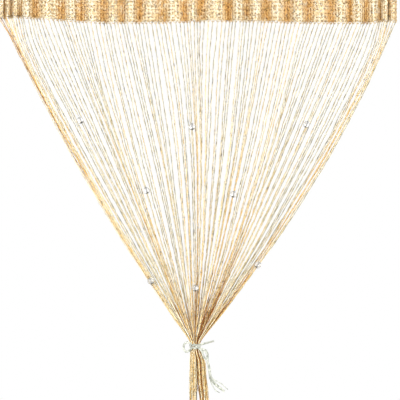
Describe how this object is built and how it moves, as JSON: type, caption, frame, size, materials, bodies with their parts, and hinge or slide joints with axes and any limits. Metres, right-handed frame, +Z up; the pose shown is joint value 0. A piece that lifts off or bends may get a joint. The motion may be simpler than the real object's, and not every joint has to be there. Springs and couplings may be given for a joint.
{
  "type": "bead curtain",
  "caption": "Gathered gold string curtain with clear beads, its strings drawn into a V by a ribbon tie and falling in a loose tail.",
  "frame": {"origin": "middle of the heading's top edge, on the curtain's middle plane", "axes": "+Z up along the strings, +X to the viewer's right along the heading, +Y away from the viewer through the curtain's depth"},
  "size_m": [0.6544, 0.0574, 1.9995],
  "materials": {
    "heading_knit": "open knit of gold metallic yarn, bright on the folds' fronts and orange-brown in the recesses",
    "string_yarn": "thin gold metallic tinsel yarn with bright and dark glints along it",
    "bead_clear": "clear faceted bead, glossy",
    "ribbon": "thin clear-white plastic ribbon, slightly crinkled"
  },
  "bodies": {
    "root": {"heading": "heading_knit", "strings": "string_yarn", "bead_01": "bead_clear", "bead_02": "bead_clear", "bead_03": "bead_clear", "bead_04": "bead_clear", "bead_05": "bead_clear", "bead_06": "bead_clear", "bead_07": "bead_clear", "bead_08": "bead_clear", "bead_09": "bead_clear", "bead_10": "bead_clear", "bead_11": "bead_clear", "bead_12": "bead_clear", "bead_13": "bead_clear", "bead_14": "bead_clear", "bead_15": "bead_clear", "bead_16": "bead_clear", "bead_17": "bead_clear", "bead_18": "bead_clear", "bead_19": "bead_clear", "bead_20": "bead_clear", "bead_21": "bead_clear", "bead_22": "bead_clear", "bead_23": "bead_clear", "bead_24": "bead_clear", "bead_25": "bead_clear", "bead_26": "bead_clear", "tie": "ribbon", "tie_end_upper": "ribbon", "tie_end_lower": "ribbon"}
  },
  "joints": []
}
